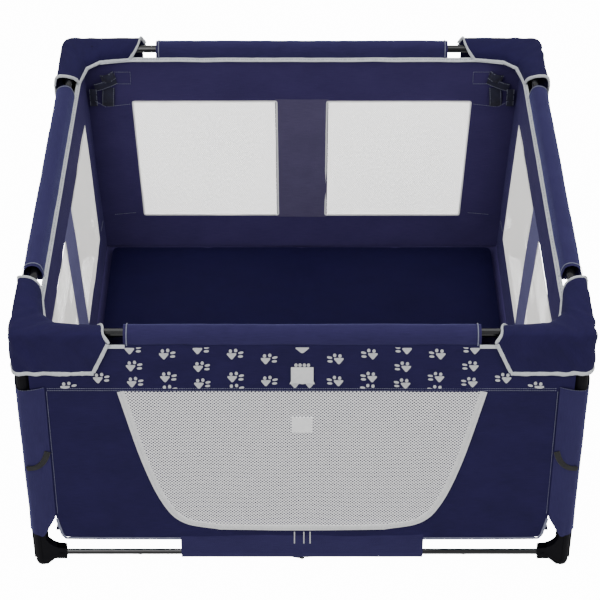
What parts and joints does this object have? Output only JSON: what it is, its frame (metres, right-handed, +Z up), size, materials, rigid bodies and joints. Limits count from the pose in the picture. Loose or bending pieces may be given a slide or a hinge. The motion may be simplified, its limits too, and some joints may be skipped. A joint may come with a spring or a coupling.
{
  "type": "travel play yard",
  "caption": "Square folding baby play yard with padded top rails, corner posts on feet, mesh-window fabric walls, a zipped mesh door flap, latching hinged rails and a lift-out floor mat",
  "frame": {"origin": "middle of the yard, on the floor under the feet", "axes": "+X right, door faces -Y, +Z up"},
  "size_m": [1.22, 1.22, 0.677],
  "materials": {
    "black_tube": "gloss black powder-coated steel tube",
    "black_plastic": "moulded black plastic",
    "grey_rubber": "light grey glide",
    "latch_button": "moulded snap button",
    "navy_fabric": "navy oxford cloth with light piping",
    "mat_fabric": "dark navy padded mat",
    "white_mesh": "light grey breathable mesh"
  },
  "bodies": {
    "post_front_left": {"post_front_left": "black_tube", "top_bracket_front_left": "black_plastic", "foot_front_left": "black_plastic", "glide_front_left": "grey_rubber", "post_sleeve_front_left": "navy_fabric", "corner_cover_front_left": "navy_fabric", "front_wall": "navy_fabric", "left_wall": "navy_fabric", "floor_sheet": "navy_fabric"},
    "post_front_right": {"post_front_right": "black_tube", "top_bracket_front_right": "black_plastic", "foot_front_right": "black_plastic", "glide_front_right": "grey_rubber", "post_sleeve_front_right": "navy_fabric", "corner_cover_front_right": "navy_fabric", "right_wall": "navy_fabric"},
    "post_back_right": {"post_back_right": "black_tube", "top_bracket_back_right": "black_plastic", "foot_back_right": "black_plastic", "glide_back_right": "grey_rubber", "post_sleeve_back_right": "navy_fabric", "corner_cover_back_right": "navy_fabric"},
    "post_back_left": {"post_back_left": "black_tube", "top_bracket_back_left": "black_plastic", "foot_back_left": "black_plastic", "glide_back_left": "grey_rubber", "post_sleeve_back_left": "navy_fabric", "corner_cover_back_left": "navy_fabric", "back_wall": "navy_fabric"},
    "front_top_first": {"front_top_rail_left": "black_tube", "front_latch_housing": "black_plastic", "front_rail_sleeve": "navy_fabric"},
    "front_top_second": {"front_top_rail_right": "black_tube"},
    "front_button": {"front_latch_button": "latch_button"},
    "front_bottom_first": {"front_bottom_rail_left": "black_tube"},
    "front_bottom_second": {"front_bottom_rail_right": "black_tube"},
    "left_top_first": {"left_top_rail_front": "black_tube", "left_latch_housing": "black_plastic", "left_rail_sleeve": "navy_fabric"},
    "left_top_second": {"left_top_rail_back": "black_tube"},
    "left_button": {"left_latch_button": "latch_button"},
    "left_bottom_first": {"left_bottom_rail_front": "black_tube"},
    "left_bottom_second": {"left_bottom_rail_back": "black_tube"},
    "right_top_first": {"right_top_rail_front": "black_tube", "right_latch_housing": "black_plastic", "right_rail_sleeve": "navy_fabric"},
    "right_top_second": {"right_top_rail_back": "black_tube"},
    "right_button": {"right_latch_button": "latch_button"},
    "right_bottom_first": {"right_bottom_rail_front": "black_tube"},
    "right_bottom_second": {"right_bottom_rail_back": "black_tube"},
    "back_top_first": {"back_top_rail_left": "black_tube", "back_latch_housing": "black_plastic", "back_rail_sleeve": "navy_fabric"},
    "back_top_second": {"back_top_rail_right": "black_tube"},
    "back_button": {"back_latch_button": "latch_button"},
    "back_bottom_first": {"back_bottom_rail_left": "black_tube"},
    "back_bottom_second": {"back_bottom_rail_right": "black_tube"},
    "door": {"door_flap": "white_mesh"},
    "mat": {"floor_mat": "mat_fabric"}
  },
  "joints": [
    {"name": "fold", "type": "hinge", "parent": "post_front_left", "child": "front_top_first", "pos_m": [-0.543, -0.5795, 0.657], "axis": [0, 1, 0], "range_deg": [0, 86], "deforming": ["front_wall", "left_wall", "right_wall", "back_wall", "front_rail_sleeve", "left_rail_sleeve", "right_rail_sleeve", "back_rail_sleeve", "corner_cover_front_left", "corner_cover_front_right", "corner_cover_back_right", "corner_cover_back_left", "post_sleeve_front_left", "post_sleeve_front_right", "post_sleeve_back_right", "post_sleeve_back_left", "door_flap", "floor_sheet", "floor_mat"]},
    {"name": "front_top_second_fold", "type": "hinge", "parent": "front_top_first", "child": "front_top_second", "pos_m": [0, -0.5795, 0.669], "axis": [0, 1, 0], "range_deg": [-172, 0]},
    {"name": "post_front_right_upright", "type": "hinge", "parent": "front_top_second", "child": "post_front_right", "pos_m": [0.543, -0.5795, 0.657], "axis": [0, 1, 0], "range_deg": [0, 86]},
    {"name": "front_bottom_first_fold", "type": "hinge", "parent": "post_front_left", "child": "front_bottom_first", "pos_m": [-0.543, -0.599, 0.04], "axis": [0, -1, 0], "range_deg": [0, 86]},
    {"name": "front_bottom_second_fold", "type": "hinge", "parent": "front_bottom_first", "child": "front_bottom_second", "pos_m": [0, -0.599, 0.028], "axis": [0, -1, 0], "range_deg": [-172, 0]},
    {"name": "front_latch_press", "type": "slide", "parent": "front_top_second", "child": "front_button", "axis": [0, 1, 0], "range_m": [0, 0.0042], "stiffness_N_per_m": 600},
    {"name": "left_top_first_fold", "type": "hinge", "parent": "post_front_left", "child": "left_top_first", "pos_m": [-0.5795, -0.543, 0.657], "axis": [-1, 0, 0], "range_deg": [0, 86]},
    {"name": "left_top_second_fold", "type": "hinge", "parent": "left_top_first", "child": "left_top_second", "pos_m": [-0.5795, 0, 0.669], "axis": [-1, 0, 0], "range_deg": [-172, 0]},
    {"name": "post_back_left_upright", "type": "hinge", "parent": "left_top_second", "child": "post_back_left", "pos_m": [-0.5795, 0.543, 0.657], "axis": [-1, 0, 0], "range_deg": [0, 86]},
    {"name": "left_bottom_first_fold", "type": "hinge", "parent": "post_front_left", "child": "left_bottom_first", "pos_m": [-0.599, -0.543, 0.04], "axis": [1, 0, 0], "range_deg": [0, 86]},
    {"name": "left_bottom_second_fold", "type": "hinge", "parent": "left_bottom_first", "child": "left_bottom_second", "pos_m": [-0.599, 0, 0.028], "axis": [1, 0, 0], "range_deg": [-172, 0]},
    {"name": "left_latch_press", "type": "slide", "parent": "left_top_second", "child": "left_button", "axis": [1, 0, 0], "range_m": [0, 0.0042], "stiffness_N_per_m": 600},
    {"name": "right_top_first_fold", "type": "hinge", "parent": "post_front_right", "child": "right_top_first", "pos_m": [0.5795, -0.543, 0.657], "axis": [-1, 0, 0], "range_deg": [0, 86]},
    {"name": "right_top_second_fold", "type": "hinge", "parent": "right_top_first", "child": "right_top_second", "pos_m": [0.5795, 0, 0.669], "axis": [-1, 0, 0], "range_deg": [-172, 0]},
    {"name": "post_back_right_upright", "type": "hinge", "parent": "right_top_second", "child": "post_back_right", "pos_m": [0.5795, 0.543, 0.657], "axis": [-1, 0, 0], "range_deg": [0, 86]},
    {"name": "right_bottom_first_fold", "type": "hinge", "parent": "post_front_right", "child": "right_bottom_first", "pos_m": [0.599, -0.543, 0.04], "axis": [1, 0, 0], "range_deg": [0, 86]},
    {"name": "right_bottom_second_fold", "type": "hinge", "parent": "right_bottom_first", "child": "right_bottom_second", "pos_m": [0.599, 0, 0.028], "axis": [1, 0, 0], "range_deg": [-172, 0]},
    {"name": "right_latch_press", "type": "slide", "parent": "right_top_second", "child": "right_button", "axis": [-1, 0, 0], "range_m": [0, 0.0042], "stiffness_N_per_m": 600},
    {"name": "back_top_first_fold", "type": "hinge", "parent": "post_back_left", "child": "back_top_first", "pos_m": [-0.543, 0.5795, 0.657], "axis": [0, 1, 0], "range_deg": [0, 86]},
    {"name": "back_top_second_fold", "type": "hinge", "parent": "back_top_first", "child": "back_top_second", "pos_m": [0, 0.5795, 0.669], "axis": [0, 1, 0], "range_deg": [-172, 0]},
    {"name": "back_bottom_first_fold", "type": "hinge", "parent": "post_back_left", "child": "back_bottom_first", "pos_m": [-0.543, 0.599, 0.04], "axis": [0, -1, 0], "range_deg": [0, 86]},
    {"name": "back_bottom_second_fold", "type": "hinge", "parent": "back_bottom_first", "child": "back_bottom_second", "pos_m": [0, 0.599, 0.028], "axis": [0, -1, 0], "range_deg": [-172, 0]},
    {"name": "back_latch_press", "type": "slide", "parent": "back_top_second", "child": "back_button", "axis": [0, -1, 0], "range_m": [0, 0.0042], "stiffness_N_per_m": 600},
    {"name": "door_open", "type": "hinge", "parent": "post_front_left", "child": "door", "pos_m": [0, -0.6055, 0.51], "axis": [-1, 0, 0], "range_deg": [0, 110]},
    {"name": "mat_lift", "type": "slide", "parent": "post_front_left", "child": "mat", "axis": [0, 0, 1], "range_m": [0, 0.75]}
  ],
  "couplings": [
    {"joint": "front_top_second_fold", "follows": "fold", "ratio": -2},
    {"joint": "post_front_right_upright", "follows": "fold", "ratio": 1},
    {"joint": "front_bottom_first_fold", "follows": "fold", "ratio": 1},
    {"joint": "front_bottom_second_fold", "follows": "fold", "ratio": -2},
    {"joint": "left_top_first_fold", "follows": "fold", "ratio": 1},
    {"joint": "left_top_second_fold", "follows": "fold", "ratio": -2},
    {"joint": "post_back_left_upright", "follows": "fold", "ratio": 1},
    {"joint": "left_bottom_first_fold", "follows": "fold", "ratio": 1},
    {"joint": "left_bottom_second_fold", "follows": "fold", "ratio": -2},
    {"joint": "right_top_first_fold", "follows": "fold", "ratio": 1},
    {"joint": "right_top_second_fold", "follows": "fold", "ratio": -2},
    {"joint": "post_back_right_upright", "follows": "fold", "ratio": 1},
    {"joint": "right_bottom_first_fold", "follows": "fold", "ratio": 1},
    {"joint": "right_bottom_second_fold", "follows": "fold", "ratio": -2},
    {"joint": "back_top_first_fold", "follows": "fold", "ratio": 1},
    {"joint": "back_top_second_fold", "follows": "fold", "ratio": -2},
    {"joint": "back_bottom_first_fold", "follows": "fold", "ratio": 1},
    {"joint": "back_bottom_second_fold", "follows": "fold", "ratio": -2}
  ]
}
